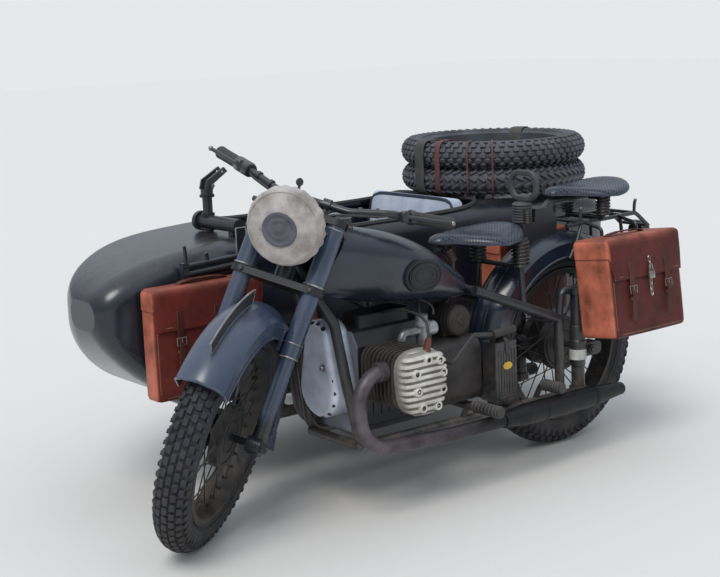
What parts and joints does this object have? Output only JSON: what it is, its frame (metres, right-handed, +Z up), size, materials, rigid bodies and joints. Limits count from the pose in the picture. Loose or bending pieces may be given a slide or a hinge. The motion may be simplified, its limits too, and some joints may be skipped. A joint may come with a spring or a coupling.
{
  "type": "motorcycle with sidecar",
  "caption": "Vintage flat-twin motorcycle with a sidecar on its right: laced wheels, two sprung saddles, leather panniers, spare tyres strapped behind the sidecar's seat.",
  "frame": {"origin": "middle of the footprint of the whole outfit's box, on the floor", "axes": "+X ahead, +Y to the rider's left, +Z up; the motorcycle's middle plane is at y = 0.428 m"},
  "size_m": [2.3436, 1.5557, 1.0804],
  "materials": {
    "slate_paint": "semi-gloss blue-grey paint, dusty",
    "pale_paint": "matt light blue-grey paint",
    "black_paint": "worn black enamel",
    "dull_alloy": "as-cast, oxidised",
    "fin_alloy": "dull finned casting",
    "exhaust_steel": "heat-browned steel",
    "bright_metal": "bright plated steel, worn",
    "wheel_paint": "dark painted rim and spokes",
    "tyre": "dusty black rubber",
    "saddle": "perforated black saddle cover",
    "rubber": "black rubber",
    "tan_leather": "worn orange-brown leather",
    "seat_cover": "pale blue-grey seat leather",
    "canvas": "grey-green canvas",
    "plate_enamel": "blank enamel plate",
    "battery_case": "black ribbed case",
    "lamp_body": "tail lamp with red glass"
  },
  "bodies": {
    "outfit": {"frame": "black_paint", "plungers": "black_paint", "final_drive": "dull_alloy", "crankcase": "dull_alloy", "cylinders": "fin_alloy", "cylinder_heads": "dull_alloy", "gearbox": "dull_alloy", "carburettors": "dull_alloy", "air_cleaner": "black_paint", "battery": "battery_case", "exhausts": "exhaust_steel", "tank": "slate_paint", "knee_pads": "rubber", "driver_saddle": "saddle", "passenger_saddle": "saddle", "saddle_springs": "black_paint", "grab_handle": "rubber", "rear_guard": "slate_paint", "carrier": "black_paint", "tail_lamp": "lamp_body", "panniers": "tan_leather", "sidecar_bag": "tan_leather", "sidecar_body": "slate_paint", "sidecar_seat": "seat_cover", "chassis": "black_paint", "sidecar_guard": "slate_paint", "spare_tyres": "tyre", "nose_fittings": "black_paint", "footrests": "rubber"},
    "steering": {"fork_legs": "black_paint", "yokes": "black_paint", "front_guard": "pale_paint", "number_plate": "plate_enamel", "handlebar": "bright_metal", "grips": "rubber", "headlamp": "black_paint", "lamp_cover": "canvas"},
    "front_roller": {"front_tyre": "tyre", "front_wheel": "wheel_paint"},
    "rear_roller": {"rear_tyre": "tyre", "rear_wheel": "wheel_paint"},
    "sidecar_roller": {"sidecar_tyre": "tyre", "sidecar_wheel": "wheel_paint"},
    "boot": {"boot_lid": "slate_paint"},
    "arm": {"pivot_arm": "black_paint"}
  },
  "joints": [
    {"name": "steering", "type": "hinge", "parent": "outfit", "child": "steering", "pos_m": [0.82205, 0.428, 0.30346], "axis": [-0.4695, 0, 0.8829], "range_deg": [-77.7, 0]},
    {"name": "front_wheel_spin", "type": "hinge", "parent": "steering", "child": "front_roller", "pos_m": [0.87575, 0.47698, 0.33201], "axis": [-0.5539, 0.7788, -0.2945], "continuous": true},
    {"name": "rear_wheel_spin", "type": "hinge", "parent": "outfit", "child": "rear_roller", "pos_m": [-0.509, 0.428, 0.345], "axis": [0, 1, 0], "continuous": true},
    {"name": "sidecar_wheel_spin", "type": "hinge", "parent": "outfit", "child": "sidecar_roller", "pos_m": [-0.329, -0.702, 0.345], "axis": [0, 1, 0], "continuous": true},
    {"name": "boot_lid", "type": "hinge", "parent": "outfit", "child": "boot", "pos_m": [-1.156, -0.192, 0.404], "axis": [0, -1, 0], "range_deg": [0, 95]},
    {"name": "arm_swivel", "type": "hinge", "parent": "outfit", "child": "arm", "pos_m": [0.479, -0.15, 0.905], "axis": [0, 0, 1], "range_deg": [-90, 90]}
  ]
}
